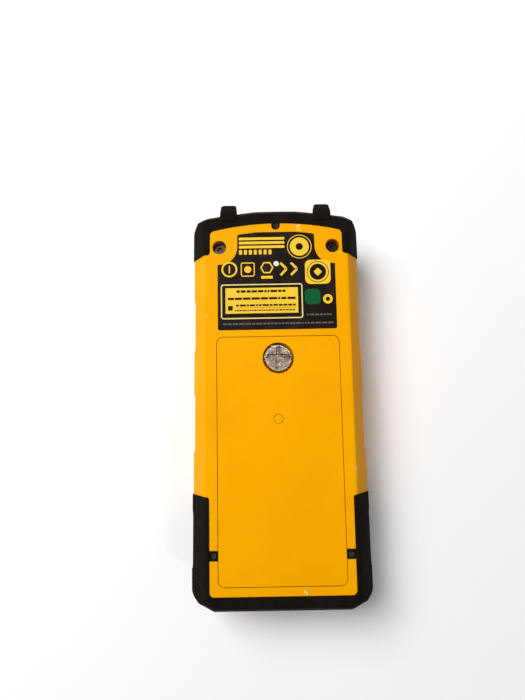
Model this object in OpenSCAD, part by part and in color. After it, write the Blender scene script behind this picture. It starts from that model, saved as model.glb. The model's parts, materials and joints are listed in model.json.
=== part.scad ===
// Laser distance meter, lying on its front: +X right, +Y to the optical end, +Z out of the back.
// The origin is under the middle of the whole object, on the plane that it rests on.

/* [Housing] */
// Length of the two shells, from the bottom end to the crown of the optical end
body_length = 122.8; // [110:0.1:150]
// Width over the side pads, beside the optical end
body_width_top = 52.7; // [50:0.1:70]
// Width over the side pads, beside the bottom end
body_width_bottom = 54.6; // [52:0.1:72]
// Width of the flat back, between its two ridges
back_width = 45.4; // [44:0.1:50]
// Thickness of the two shells together
body_height = 28.4; // [28:0.1:36]
// Height of the front shell alone
front_height = 13.7; // [13:0.1:15]
// Height of the sloping side under each back ridge
bevel_drop = 7; // [5:0.1:8]
// Wall of the shells
wall = 1.9; // [1.6:0.1:2.2]
// Radius of the crown at the optical end
crown_radius = 106; // [90:1:140]
// Depth of the finger recesses in the sides
grip_recess = 0.4; // [0.2:0.05:0.6]

/* [Rubber bumpers] */
// Length of the upper bumper along the sides
upper_grip_length = 15.1; // [13:0.1:18]
// Length of the lower bumper along the sides
lower_grip_length = 33.3; // [30:0.1:38]
// Depth of the rubber below the shell's surface
rubber_depth = 0.9; // [0.7:0.05:1]
// Height of the rubber above the shell's surface
rubber_proud = 0.3; // [0.2:0.05:0.5]
// Height of the front feet, which the object rests on
foot_height = 0.8; // [0.6:0.1:1.2]
// Length of the two prongs beyond the crown
prong_length = 1.9; // [1:0.1:3]
// Height of the two prongs below the back face
prong_height = 4.5; // [3.5:0.1:4.5]
// Distance between the two prongs
prong_spacing = 29.8; // [26:0.1:32]

/* [Battery door and latch] */
// Length of the battery door
door_length = 73.85; // [70:0.05:78]
// Width of the battery door
door_width = 37.8; // [36:0.1:39]
// Thickness of the battery door
door_thickness = 2; // [1.8:0.1:2.2]
// Seam round the battery door
door_gap = 0.15; // [0.1:0.01:0.25]
// Diameter of the latch disc
latch_diameter = 8.7; // [8:0.1:9]
// Diameter of the door's well for the latch disc
latch_well_diameter = 9.6; // [9.4:0.1:10]
// Diameter of the latch shank in the door's bore
latch_shank_diameter = 4; // [3.6:0.1:4.4]
// Radial clearance of the latch shank in the door's bore
running_gap = 0.03; // [0.02:0.01:0.08]

/* [Battery cells] */
// Diameter of an AAA cell
cell_diameter = 10.5; // [10.5]
// Length of an AAA cell with its positive cap
cell_length = 44.5; // [44.5]
// Length of the battery bay
bay_length = 49.8; // [49:0.1:52]

/* [Front] */
// Width of the view through the face plate
view_width = 31; // [28:0.5:32]
// Height of the view through the face plate
view_height = 27; // [24:0.5:28]
// Inward travel of each key
key_travel = 0.6; // [0.3:0.05:0.6]
// Clearance round each key cap
key_gap = 0.2; // [0.15:0.05:0.3]
// Thickness of the main board
board_thickness = 1.2; // [1:0.1:1.6]

/* [Optics] */
// Diameter of the receiver lens
receiver_diameter = 14; // [12:0.5:14.5]
// Diameter of the collimator lens
collimator_diameter = 5.6; // [5:0.1:5.8]
// Length of the optics carrier
carrier_length = 27.5; // [24:0.5:29]

/* [Screws] */
// Shank diameter of the housing screws
screw_diameter = 2.2; // [2:0.1:2.4]
// Head diameter of the housing screws
screw_head_diameter = 3.8; // [3.4:0.1:4]
// Depth that the housing screws reach into the front shell
screw_engagement = 5.4; // [4:0.1:8]

/* [Hidden] */
$fn = 48;
arc_steps = 5;
eps = 0.01;
reach = 200;

// Each key: name, across, up from the display's lower edge, width, length
key_pitch_x = 12.6;
key_pitch_y = 12.5;
key_width = 8.6;
key_length = 8;
key_row_y = -11.5;
KEYS = [
    ["key_measure", 0, key_row_y - key_pitch_y / 2, 11, 19],
    ["key_plus", key_pitch_x, key_row_y, key_width, key_length],
    ["key_minus", key_pitch_x, key_row_y - key_pitch_y, key_width, key_length],
    ["key_area_volume", -key_pitch_x, key_row_y, key_width, key_length],
    ["key_indirect", -key_pitch_x, key_row_y - key_pitch_y, key_width, key_length],
    ["key_timer", -key_pitch_x, key_row_y - 2 * key_pitch_y, key_width, key_length],
    ["key_memory", 0, key_row_y - 2 * key_pitch_y, key_width, key_length],
    ["key_reference", key_pitch_x, key_row_y - 2 * key_pitch_y, key_width, key_length],
    ["key_clear_off", 0, key_row_y - 3 * key_pitch_y, 14, key_length]
];

// Heights
front_z = foot_height;
split_z = front_z + front_height;
back_z = front_z + body_height;
ceiling_z = back_z - wall;
front_inner_z = front_z + wall;

// Lengths
total_length = body_length + 2 * rubber_proud + prong_length;
bottom_y = rubber_proud - total_length / 2;
top_y = bottom_y + body_length;
crown_y = top_y - crown_radius;
prong_tip_y = top_y + rubber_proud + prong_length;
upper_grip_y = top_y - upper_grip_length;
lower_grip_y = bottom_y + lower_grip_length;

// Side line of the shells
pad_top = body_width_top / 2;
pad_bottom = body_width_bottom / 2;
foot_step = 0.2;
section_half = pad_bottom + foot_step;
ridge_x = back_width / 2;
bevel_slope = (section_half - foot_step - 0.3 - ridge_x) / bevel_drop;
front_bevel = 7.5;
front_face_half = section_half - 3.6;
function pad_x(y) = pad_bottom + (pad_top - pad_bottom) * (y - bottom_y) / body_length;

// Inside of the shells, and the groove of the gasket between them
gasket_inner = 0.4;
gasket_outer = 1.1;
gasket_depth = 0.7;
inner_half = pad_top - 2.35;
inner_bottom = bottom_y + 3.4;
inner_top = top_y - 4.1;

// Battery door and its seat
door_bottom = bottom_y + 7.5;
door_top = door_bottom + door_length;
door_half = door_width / 2;
door_corner = 1.9;
door_under_z = back_z - door_thickness;
seat_z = door_under_z - 0.3;
seat_thickness = 2;
hook_x = 9;
hook_width = 5;
hook_reach = 1.4;
hook_thickness = 0.9;
hinge_r = door_gap - 0.01;
seal_groove = 0.6;

// Battery bay
cell_pitch = cell_diameter + 0.3;
bay_half = cell_pitch / 2 + cell_diameter / 2 + 0.35;
bay_bottom = door_bottom + 7.7;
bay_top = bay_bottom + bay_length;
cell_z = seat_z - cell_diameter / 2 + 0.05;
bay_floor_z = cell_z - cell_diameter / 2 - 0.25;
tub_wall = 1.3;
contact_thickness = 0.3;
cap_height = 0.8;
spring_length = bay_length - cell_length - 2 * contact_thickness - 0.2;

// Latch
latch_y = door_top - 6.65;
latch_r = latch_diameter / 2;
well_r = latch_well_diameter / 2;
well_z = door_under_z - 0.6;
web_z = well_z - 1.4;
shank_r = latch_shank_diameter / 2;
core_r = shank_r - 0.4;
clip_z = web_z - 0.15;
clip_thickness = 0.4;
disc_z = well_z + 0.1;
disc_top_z = disc_z + 1.2;
tab_z = disc_top_z + 0.05;
tab_thickness = 0.9;
barrel_r = tab_thickness / 2;
barrel_y = latch_y + 0.65;
barrel_half = 3.1;
pin_r = 0.25;
tab_top_z = tab_z + tab_thickness - 0.04;
barrel_z = tab_z + barrel_r;
ear_r = 0.45;
ear_width = 0.8;
o_ring_z = web_z + 0.75;
insert_top_z = web_z - 1;
insert_length = 4.6;
insert_r = 3;
pocket_r = 6.2;

// Pressure vent
vent_y = top_y - 18.2;
vent_r = 0.85;

// Screws
screw_seat_z = back_z - 4.1;
screw_length = screw_seat_z - split_z + screw_engagement;
head_height = 1.5;
recess_r = 2.2;
top_screw = [ridge_x - 4.8, top_y - 12.6];
door_screw = [door_half - 2.3, door_bottom + 6.9];
screw_places = [top_screw, [-top_screw.x, top_screw.y], door_screw, [-door_screw.x, door_screw.y]];

// Front
view_top = top_y - 19;
view_bottom = view_top - view_height;
plate_thickness = 0.7;
plate_z = front_z + plate_thickness;
window_thickness = 0.8;
board_z = front_inner_z + 4.6;
board_back_z = board_z + board_thickness;
board_half = inner_half - 1.7;
board_bottom = inner_bottom + 15;
board_top = view_top + 3.2;
mat_half = key_pitch_x + key_width / 2 + 1.9;
mat_top = view_bottom + key_row_y + key_length / 2 + 2.7;
mat_bottom = view_bottom + key_row_y - 3 * key_pitch_y - key_length / 2 - 2;
mat_z = front_inner_z + 1.6;
mat_thickness = 0.8;
flange_z = front_inner_z + 0.12;
flange_thickness = 0.6;
flange = 0.8;
plunger_r = 1.5;
dome_height = 0.3;
post_x = inner_half - 3;
post_r = 1.8;
board_screw_r = 0.75;
lcd_z = front_inner_z + 0.1;
board_screw_y = [board_bottom + 6, view_bottom - 5.4];
carrier_screw_y = [view_top - 11.5, view_top + 0.5];

// Optics
carrier_half = 14.2;
carrier_top = inner_top - 1.2;
carrier_bottom = carrier_top - carrier_length;
axis_z = board_back_z + receiver_diameter / 2 + 1;
carrier_half_height = axis_z - board_back_z;
receiver_x = 5.2;
laser_x = -8.6;
bezel_half = 15;
bezel_half_height = receiver_diameter / 2 + 0.2;
bezel_front_y = top_y - 1.3;
glass_rim = 1.3;
carrier_low_z = board_back_z;
diode_r = 2.8;
optics_board_thickness = 1;
rear_board_y = carrier_bottom - 1.3 - optics_board_thickness;

// ---- Outlines ----

function unit(v) = v / norm(v);

// The points that replace one corner [x, y, radius] between its neighbours a and b
function corner(a, p, b) =
    let (q = [p.x, p.y])
    p.z == 0 ? [q] :
    let (
        u = unit([a.x, a.y] - q),
        v = unit([b.x, b.y] - q),
        half = acos(u * v) / 2,
        centre = q + unit(u + v) * p.z / sin(half),
        s = q + u * p.z / tan(half) - centre,
        e = q + v * p.z / tan(half) - centre,
        start = atan2(s.y, s.x),
        turn = (atan2(e.y, e.x) - start + 540) % 360 - 180
    )
    [for (i = [0 : arc_steps])
        let (a = start + turn * i / arc_steps)
        centre + p.z * [cos(a), sin(a)]];

// Closed outline from corners [x, y, radius], listed counter-clockwise
function rounded(points) =
    let (n = len(points))
    [for (i = [0 : n - 1]) each corner(points[(i + n - 1) % n], points[i], points[(i + 1) % n])];

// One corner after both of its edges move outwards by g
function moved(a, p, b, g) =
    let (
        q = [p.x, p.y],
        u = unit(q - [a.x, a.y]),
        v = unit([b.x, b.y] - q),
        nu = [u.y, -u.x],
        n = unit(nu + [v.y, -v.x]),
        place = q + n * g / (n * nu),
        radius = p.z + (cross(u, v) > 0 ? g : -g)
    )
    [place.x, place.y, p.z == 0 || radius < 0.2 ? 0 : radius];

// Closed outline from counter-clockwise corners, with its edges moved outwards by g
function outline(points, g = 0) =
    let (n = len(points))
    rounded([for (i = [0 : n - 1]) moved(points[(i + n - 1) % n], points[i], points[(i + 1) % n], g)]);

// Both halves of a symmetrical outline, from the corners of its right half, bottom first
function both_sides(right) =
    concat(right, [for (i = [len(right) - 1 : -1 : 0]) [-right[i].x, right[i].y, right[i].z]]);

function box_outline(half, y0, y1, r) = outline(both_sides([[half, y0, r], [half, y1, r]]));

// Cross-section of the shells, seen along +Y, moved outwards by g, and by foot on the front face
function section_outline(g, foot) =
    let (drop = (section_half - ridge_x) / bevel_slope)
    outline(both_sides([
        [front_face_half, front_z + g - foot, 2],
        [section_half, front_z + front_bevel, 3],
        [section_half, back_z - drop, 3],
        [ridge_x, back_z, 0.9]
    ]), g);

// Right side of the plan: the foot, then pads and recesses up to the shoulder
recess_ramp = 1.2;
recesses = [
    [bottom_y + 12.4, bottom_y + 27.4, grip_recess / 2],
    [bottom_y + 47, bottom_y + 63.4, grip_recess],
    [bottom_y + 78.4, bottom_y + 93.4, grip_recess]
];
function recess_corners(r) = [
    [pad_x(r[0]), r[0] - recess_ramp, 0],
    [pad_x(r[0]) - r[2], r[0], 0],
    [pad_x(r[1]) - r[2], r[1], 0],
    [pad_x(r[1]), r[1] + recess_ramp, 0]
];
shoulder_radius = 4.6;
foot_run = 7;
foot_rise = 3.8;
crown_half = 20;
crown_steps = 6;
function crown_at(x) = crown_y + sqrt(crown_radius * crown_radius - x * x);
function plan_outline(g) =
    let (foot_x = pad_bottom + foot_step)
    outline(both_sides(concat(
        [[foot_x - foot_run, bottom_y, 5], [foot_x, bottom_y + foot_rise, 3],
            [foot_x, bottom_y + 10.6, 0]],
        [for (r = recesses) each recess_corners(r)],
        [[pad_top, crown_at(pad_top), shoulder_radius]],
        [for (i = [0 : crown_steps - 1])
            let (x = crown_half * (1 - (i + 0.5) / crown_steps))
            [x, crown_at(x), 0]]
    )), g);

// Plan of the hollow inside the shells
function inner_outline(g) = outline(both_sides([
    [inner_half - 5.3, inner_bottom, 3],
    [inner_half, inner_bottom + 3, 3],
    [inner_half, inner_top - 4.5, 3],
    [inner_half - 5, inner_top, 3]
]), g);

function door_outline(g) =
    box_outline(door_half + g, door_bottom - g, door_top + g, door_corner + max(g, 0));

// Yellow part of the back, inside the black rim: the crown, the sides and the lower corners
rim_x = pad_top - 5.4;
lower_rim_x = ridge_x - 1.1;
rim_y = top_y - 4.95;
rim_bottom = bottom_y + 4.8;
rim_radius = 88;
function rim_at(x) = rim_y - rim_radius + sqrt(rim_radius * rim_radius - x * x);
function rim_outline() = outline(both_sides(concat(
    [[lower_rim_x, rim_bottom, 1.4], [lower_rim_x, lower_grip_y, 0.7]],
    [[reach, lower_grip_y, 0], [reach, upper_grip_y, 0], [rim_x, upper_grip_y, 1]],
    [[rim_x, rim_at(rim_x), 1.5]],
    [for (i = [0 : crown_steps - 1])
        let (x = (rim_x - 2.5) * (1 - (i + 0.5) / crown_steps))
        [x, rim_at(x), 0]]
)));

// The same for the front face, a plain frame
front_rim_x = front_face_half - 2.4;
function front_rim_outline() = outline(both_sides([
    [front_rim_x, bottom_y + 8, 3], [front_rim_x, lower_grip_y, 1.5],
    [reach, lower_grip_y, 0], [reach, upper_grip_y, 0],
    [front_rim_x, upper_grip_y, 1.5], [front_rim_x, top_y - 9.5, 3]
]));

// Label: full width below, narrower between the screws, with a hollow round each screw
label_half = ridge_x - 4.2;
label_neck = top_screw.x - 5.7;
label_bottom = door_top + 2.25;
label_top = top_y - 7.6;
label_hollow = 5.7;
label_hollow_steps = 8;
label_depth = 0.2;
function label_outline() =
    let (first = -acos((label_half - top_screw.x) / label_hollow))
    outline(both_sides(concat(
        [[label_half, label_bottom, 0.6]],
        [for (i = [0 : label_hollow_steps])
            let (a = first + (-180 - first) * i / label_hollow_steps)
            [top_screw.x + label_hollow * cos(a), top_screw.y + label_hollow * sin(a), 0]],
        [[top_screw.x - label_hollow, label_top - 0.95, 0.8], [label_neck / 2, label_top - 0.25, 0]]
    )));

// Keys: outline round the key's own centre, moved to its place
key_corner = 2.4;
key_front_z = 0.3;
function key_outline(k, g) =
    let (c = k[0] == "key_measure" ? 2 * key_corner : key_corner, x = k[3] / 2, y = k[4] / 2)
    [for (p = outline([[-x, -y, c], [x, -y, c], [x, y, c], [-x, y, c]], g))
        p + [k[1], view_bottom + k[2]]];
function view_outline(g) = box_outline(view_width / 2 + g, view_bottom - g, view_top + g, 1);
function plate_outline(g) =
    box_outline(mat_half + 1.2 + g, mat_bottom - 4.5 - g, view_top + 4.5 + g, 3);
function cover_seal_outline(g) =
    box_outline(bay_half + 1.6 + g, bay_bottom - 1.6 - g, bay_top + 1.6 + g, 1.5 + g);
function prong_outline() = outline([
    [prong_spacing / 2 - 2.8, top_y - 4.2, 0.8], [prong_spacing / 2 + 2.8, top_y - 4.2, 0.8],
    [prong_spacing / 2 + 2.4, prong_tip_y, 1], [prong_spacing / 2 - 2.4, prong_tip_y, 1]
]);
// Six-lobe recess
function lobed_outline(r) =
    [for (i = [0 : 35]) let (a = 10 * i, d = r * (0.86 + 0.14 * cos(6 * a))) [d * cos(a), d * sin(a)]];

// ---- Shared solids ----

module prism(points, z0, z1) {
    translate([0, 0, z0])
        linear_extrude(z1 - z0)
            polygon(points);
}

module both_x() {
    children();
    mirror([1, 0, 0]) children();
}

module tube_z(r, z0, z1) {
    translate([0, 0, z0]) cylinder(r = r, h = z1 - z0);
}

module tube_y(r, y0, y1) {
    translate([0, y0, 0])
        rotate([-90, 0, 0])
            cylinder(r = r, h = y1 - y0);
}

module slab(x0, x1, y0, y1, z0, z1) {
    translate([x0, y0, z0]) cube([x1 - x0, y1 - y0, z1 - z0]);
}

// Cross-section of the shells, run along the whole length
module section_bar(g, foot) {
    translate([0, reach / 2, 0])
        rotate([90, 0, 0])
            linear_extrude(reach)
                polygon(section_outline(g, foot));
}

// Bevelled end, as a profile over (distance from the middle, height) run across the object
module end_bevel(end, g, low, high) {
    translate([-reach / 2, 0, 0])
        rotate([90, 0, 90])
            linear_extrude(reach)
                polygon([
                    [-reach, -1], [end + g - low, -1], [end + g + 0.6, front_z + 5],
                    [end + g + 0.6, back_z - 4.5], [end + g - high, back_z + 1], [-reach, back_z + 1]
                ]);
}

// Bevels along the crown, in flats that touch its curve
crown_flats = [-7, 0, 7];
module crown_bevel(g) {
    translate([0, crown_y, 0])
        intersection_for (a = crown_flats)
            rotate([0, 0, a])
                end_bevel(crown_radius, g, 2, 2.6);
}

module bottom_bevel(g) {
    mirror([0, 1, 0])
        end_bevel(-bottom_y, g, 2, 2.2);
}

// Bevels round the four corners, in flats that touch the plan: two at each shoulder, one at each foot
shoulder_flats = [36, 62];
module corner_bevels(g) {
    side = pad_top - shoulder_radius;
    shoulder = [side, crown_y + sqrt(pow(crown_radius - shoulder_radius, 2) - side * side)];
    foot = [pad_bottom + foot_step, bottom_y + foot_rise];
    foot_turn = -atan2(foot_run, foot_rise);
    intersection_for (flip = [0, 1])
        mirror([flip, 0, 0])
            intersection() {
                intersection_for (a = shoulder_flats)
                    rotate([0, 0, a - 90])
                        end_bevel(shoulder * [cos(a), sin(a)] + shoulder_radius, g, 2, 2.6);
                rotate([0, 0, foot_turn - 90])
                    end_bevel(foot * [cos(foot_turn), sin(foot_turn)], g, 2, 2.2);
            }
}

// Outer shape of the two shells moved outwards by g, and by foot on the front face
module envelope(g = 0, foot = 0) {
    intersection() {
        section_bar(g, foot);
        prism(plan_outline(g), -1, back_z + 2);
        crown_bevel(g);
        bottom_bevel(g);
        corner_bevels(g);
    }
}

module hollow(z0, z1) {
    intersection() {
        section_bar(-wall, -wall);
        prism(inner_outline(0), z0, z1);
    }
}

module window_opening(gap) {
    slab(-bezel_half - gap, bezel_half + gap, inner_top - 2, top_y + 4,
        axis_z - bezel_half_height - gap, axis_z + bezel_half_height + gap);
}

// Everything beyond the two lines across the sides where the rubber begins
module grip_ends(top) {
    if (top)
        slab(-reach, reach, upper_grip_y, reach, -1, reach);
    else
        slab(-reach, reach, -reach, lower_grip_y, -1, reach);
}

// Room that one bumper takes out of a shell
module rubber_seat(top, rim, z0, z1) {
    difference() {
        intersection() {
            grip_ends(top);
            slab(-reach, reach, -reach, reach, z0, z1);
        }
        envelope(-rubber_depth, -rubber_depth);
        prism(rim, z0 - 1, z1 + 1);
        if (top) window_opening(0.8);
    }
}

module rubber(top, rim, z0, z1) {
    intersection() {
        envelope(rubber_proud, foot_height);
        rubber_seat(top, rim, z0, z1);
    }
}

prong_proud = rubber_proud + 0.3;
prong_drop = 2.5;

// Small rubber tabs let into the back: one in the crown, two beside the door
tab_depth = 0.9;
tab_half = 1.35;
side_tab = [door_half + door_gap, lower_rim_x + 0.6, bottom_y + 16.4, 2.9];
module tab_pockets() {
    prism(
        outline([[-tab_half, rim_y - 2.1, 1.3], [tab_half, rim_y - 2.1, 1.3],
            [tab_half, rim_y + 0.4, 0], [-tab_half, rim_y + 0.4, 0]]),
        back_z - tab_depth, back_z + 0.1);
    both_x()
        slab(side_tab[0], side_tab[1], side_tab[2] - side_tab[3] / 2, side_tab[2] + side_tab[3] / 2,
            back_z - tab_depth, back_z + 0.1);
}

// ---- Shells and rubber ----

module rear_housing() color("gold") difference() {
    union() {
        difference() {
            intersection() {
                envelope();
                slab(-reach, reach, -reach, reach, split_z, back_z + 1);
            }
            hollow(split_z - 1, back_z);
        }
        prism(door_outline(1.8), seat_z - seat_thickness, ceiling_z + 0.4);
        prism(
            box_outline(bay_half + tub_wall, bay_bottom - tub_wall, bay_top + tub_wall, 1),
            bay_floor_z - 1.2, seat_z - 1);
        translate([0, latch_y, 0])
            tube_z(insert_r + 1.8, insert_top_z - insert_length - 1.2, seat_z - 1);
        translate([0, latch_y, 0])
            tube_z(pocket_r + 1.1, insert_top_z - 1.2, seat_z - 1);
        for (p = screw_places)
            translate([p.x, p.y, 0])
                tube_z(3.3, split_z, ceiling_z + 0.4);
    }
    rubber_seat(true, rim_outline(), split_z - 1, back_z + 3);
    rubber_seat(false, rim_outline(), split_z - 1, back_z + 3);
    tab_pockets();
    window_opening(0.05);
    prism(label_outline(), back_z - label_depth, back_z + 1);
    translate([0, vent_y, 0])
        tube_z(0.4, ceiling_z - 1, back_z);
    prism(door_outline(door_gap), seat_z, back_z + 1);
    prism(box_outline(bay_half, bay_bottom, bay_top, 1), bay_floor_z, back_z);
    both_x()
        slab(hook_x - hook_width / 2 - 0.5, hook_x + hook_width / 2 + 0.5,
            door_bottom - hook_reach - 0.5, door_bottom + 3.5, seat_z - seat_thickness + 0.5, ceiling_z);
    translate([0, latch_y, 0]) {
        tube_z(pocket_r, insert_top_z, back_z);
        tube_z(insert_r, insert_top_z - insert_length, back_z);
    }
    for (p = screw_places)
        translate([p.x, p.y, 0]) {
            tube_z(recess_r, screw_seat_z, back_z + 1);
            tube_z(screw_diameter / 2 + 0.15, split_z - 1, back_z);
        }
    both_x()
        slab(cell_pitch / 2 - 1.3, cell_pitch / 2 + 1.3, bay_top - 0.6, bay_top + 0.2,
            bay_floor_z - 2, bay_floor_z + 1);
}

module front_housing() color("gold") difference() {
    union() {
        difference() {
            intersection() {
                envelope();
                slab(-reach, reach, -reach, reach, 0, split_z);
            }
            hollow(0, split_z + 1);
        }
        for (p = screw_places)
            translate([p.x, p.y, 0])
                tube_z(2.9, front_inner_z - 0.3, split_z);
        both_x()
            for (y = concat(board_screw_y, carrier_screw_y))
                translate([post_x, y, 0])
                    tube_z(post_r, front_inner_z - 0.3, board_z);
        difference() {
            prism(box_outline(mat_half + 0.3, mat_bottom - 0.3, mat_top + 0.3, 1),
                front_inner_z - 0.3, mat_z);
            prism(box_outline(mat_half - 0.9, mat_bottom + 0.9, mat_top - 0.9, 1), 0, mat_z + 1);
        }
    }
    rubber_seat(true, front_rim_outline(), -1, split_z + 1);
    rubber_seat(false, front_rim_outline(), -1, split_z + 1);
    window_opening(0.05);
    difference() {
        prism(inner_outline(gasket_outer), split_z - gasket_depth, split_z + 1);
        prism(inner_outline(gasket_inner), split_z - gasket_depth - 1, split_z + 2);
    }
    for (p = screw_places)
        translate([p.x, p.y, 0])
            tube_z(screw_diameter / 2 + 0.03, split_z - screw_engagement - 3.6, split_z + 1);
    both_x()
        for (y = concat(board_screw_y, carrier_screw_y))
            translate([post_x, y, 0])
                tube_z(board_screw_r + 0.03, front_inner_z + 0.4, board_z + 1);
    prism(plate_outline(0.1), -1, plate_z);
    prism(view_outline(1.1), 0, plate_z + window_thickness + 0.1);
    prism(view_outline(0.2), 0, front_inner_z + 1);
    for (k = KEYS)
        prism(key_outline(k, key_gap), 0, front_inner_z + 1);
}

module rear_top_grip() color("dimgray") difference() {
    union() {
        rubber(true, rim_outline(), split_z, back_z + 2);
        both_x()
            difference() {
                prism(prong_outline(), back_z - prong_height, back_z + prong_proud);
                envelope(-rubber_depth, -rubber_depth);
                prong_slope();
            }
        intersection() {
            tab_pockets();
            slab(-tab_half - 1, tab_half + 1, 0, reach, 0, reach);
        }
    }
    translate([0.2, rim_y - 0.9, 0])
        tube_z(0.4, back_z - 0.3, back_z + 1);
}

// What is cut off the prongs above the slope towards their tips
module prong_slope() {
    rotate([90, 0, 90])
        linear_extrude(reach)
            polygon([
                [prong_tip_y - 3.4, back_z + prong_proud], [prong_tip_y, back_z - prong_drop],
                [prong_tip_y + 1, back_z - prong_drop], [prong_tip_y + 1, back_z + 2],
                [prong_tip_y - 3.4, back_z + 2]
            ]);
}

module rear_bottom_grip() color("dimgray") difference() {
    union() {
        rubber(false, rim_outline(), split_z, back_z + 2);
        intersection() {
            tab_pockets();
            slab(-reach, reach, -reach, 0, 0, reach);
        }
    }
    both_x()
        translate([lower_rim_x - 1.4, side_tab[2], 0])
            tube_z(0.4, back_z - 0.3, back_z + 1);
}

module front_top_grip() color("dimgray")
    rubber(true, front_rim_outline(), -1, split_z);

module front_bottom_grip() color("dimgray")
    rubber(false, front_rim_outline(), -1, split_z);

module housing_gasket() color("silver") difference() {
    prism(inner_outline(gasket_outer), split_z - gasket_depth, split_z);
    prism(inner_outline(gasket_inner), split_z - gasket_depth - 1, split_z + 1);
    window_opening(0.05);
}

module housing_screws() color("silver")
    for (p = screw_places)
        translate([p.x, p.y, screw_seat_z])
            difference() {
                union() {
                    tube_z(screw_head_diameter / 2, 0, head_height);
                    tube_z(screw_diameter / 2, -screw_length, eps);
                }
                prism(lobed_outline(0.95), head_height - 0.9, head_height + 1);
            }

// ---- Battery door and latch ----

module battery_cover() color("gold") difference() {
    union() {
        door_panel();
        translate([0, latch_y, 0])
            tube_z(pocket_r - 0.4, web_z, door_under_z + 0.5);
        both_x()
            hook();
        slab(-0.6, 0.6, bay_bottom + 8, bay_top - 8, cell_z + 2.9, door_under_z + 0.5);
    }
    translate([0, latch_y, 0]) {
        tube_z(well_r, well_z, back_z + 1);
        tube_z(shank_r + running_gap, web_z - 1, back_z);
    }
    difference() {
        prism(cover_seal_outline(0.8), seat_z, door_under_z + seal_groove);
        prism(cover_seal_outline(0), 0, back_z);
    }
    translate([-0.2, door_bottom + 48.5, back_z - 0.08])
        difference() {
            tube_z(1.5, 0, 1);
            tube_z(1.25, -1, 2);
        }
}

// Door panel, with a round upper edge at its hinge end
module door_panel() difference() {
    prism(door_outline(0), door_under_z, back_z);
    difference() {
        slab(-reach, reach, door_bottom - 1, door_bottom + hinge_r, back_z - hinge_r, back_z + 1);
        translate([-reach, door_bottom + hinge_r, back_z - hinge_r])
            rotate([0, 90, 0])
                cylinder(r = hinge_r, h = 2 * reach);
    }
}

module hook() {
    low = door_under_z - hook_thickness - 0.1;
    slab(hook_x - hook_width / 2, hook_x + hook_width / 2,
        door_bottom - hook_reach, door_bottom + 2, low, low + hook_thickness);
    slab(hook_x - hook_width / 2, hook_x + hook_width / 2,
        door_bottom + 0.3, door_bottom + 2, low, door_under_z + 0.5);
}

module cover_gasket() color("dimgray") difference() {
    prism(cover_seal_outline(0.8), seat_z + 0.05, door_under_z + seal_groove);
    prism(cover_seal_outline(0), 0, back_z);
}

// Chamfered disc that the latch's two halves are cut from
module latch_disc(z0, z1) {
    chamfer = 0.4;
    translate([0, latch_y, 0])
        intersection() {
            tube_z(latch_r, z0, z1);
            translate([0, 0, z0])
                rotate_extrude()
                    polygon([[0, -1], [latch_r + 1, -1], [latch_r + 1, z1 - z0 - chamfer - 1],
                        [latch_r - chamfer, z1 - z0], [0, z1 - z0]]);
        }
}

module latch_base() color("silver") difference() {
    union() {
        translate([0, latch_y, 0])
            latch_screw();
        intersection() {
            latch_disc(disc_top_z - 0.3, tab_top_z);
            slab(-reach, reach, barrel_y + barrel_r + 0.07, reach, 0, reach);
        }
        both_x()
            intersection() {
                union() {
                    translate([barrel_half + 0.15, barrel_y, barrel_z])
                        rotate([0, 90, 0])
                            cylinder(r = ear_r, h = ear_width);
                    slab(barrel_half + 0.15, barrel_half + 0.15 + ear_width,
                        barrel_y - 0.3, barrel_y + 0.3, disc_top_z - 0.3, barrel_z);
                }
                translate([0, latch_y, 0])
                    tube_z(latch_r, 0, reach);
            }
    }
    slab(-0.6, 0.6, barrel_y + barrel_r, latch_y + latch_r - 0.7, disc_top_z, reach);
    translate([-reach / 2, barrel_y, barrel_z])
        rotate([0, 90, 0])
            cylinder(r = pin_r + 0.01, h = reach);
}

module latch_screw() difference() {
    union() {
        tube_z(latch_r, disc_z, disc_top_z);
        tube_z(shank_r, insert_top_z + 0.1, disc_z + 0.5);
        tube_z(core_r, insert_top_z - 2.3, insert_top_z + 0.5);
    }
    groove(o_ring_z - 0.35, o_ring_z + 0.35, shank_r - 0.45);
    groove(clip_z - clip_thickness - 0.1, clip_z, shank_r - 0.35);
}

module groove(z0, z1, r) difference() {
    tube_z(shank_r + 1, z0, z1);
    tube_z(r, z0 - 1, z1 + 1);
}

module latch_tab() color("silver") difference() {
    union() {
        intersection() {
            latch_disc(tab_z + 0.03, tab_top_z);
            union() {
                slab(-reach, reach, -reach, barrel_y - ear_r - 0.1, 0, reach);
                slab(-barrel_half, barrel_half, -reach, barrel_y, 0, reach);
            }
        }
        translate([-barrel_half, barrel_y, barrel_z])
            rotate([0, 90, 0])
                cylinder(r = barrel_r, h = 2 * barrel_half);
    }
    translate([-reach / 2, barrel_y, barrel_z])
        rotate([0, 90, 0])
            cylinder(r = pin_r + running_gap, h = reach);
}

module latch_pin() color("dimgray")
    translate([-barrel_half - 0.15 - ear_width + 0.1, barrel_y, barrel_z])
        rotate([0, 90, 0])
            cylinder(r = pin_r, h = 2 * (barrel_half + 0.05 + ear_width));

module latch_o_ring() color("black")
    translate([0, latch_y, o_ring_z])
        rotate_extrude()
            translate([shank_r - 0.22, 0])
                circle(r = 0.21, $fn = 24);

module latch_clip() color("silver")
    translate([0, latch_y, 0])
        difference() {
            tube_z(3.2, clip_z - clip_thickness - 0.05, clip_z - 0.05);
            tube_z(shank_r - 0.33, 0, reach);
            slab(-0.9, 0.9, 0, reach, 0, reach);
        }

module latch_insert() color("goldenrod")
    translate([0, latch_y, 0])
        difference() {
            union() {
                tube_z(insert_r, insert_top_z - insert_length, insert_top_z - 3.1);
                tube_z(insert_r - 0.3, insert_top_z - 3.3, insert_top_z - 1.3);
                tube_z(insert_r, insert_top_z - 1.5, insert_top_z);
            }
            tube_z(shank_r, 0, reach);
        }

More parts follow.
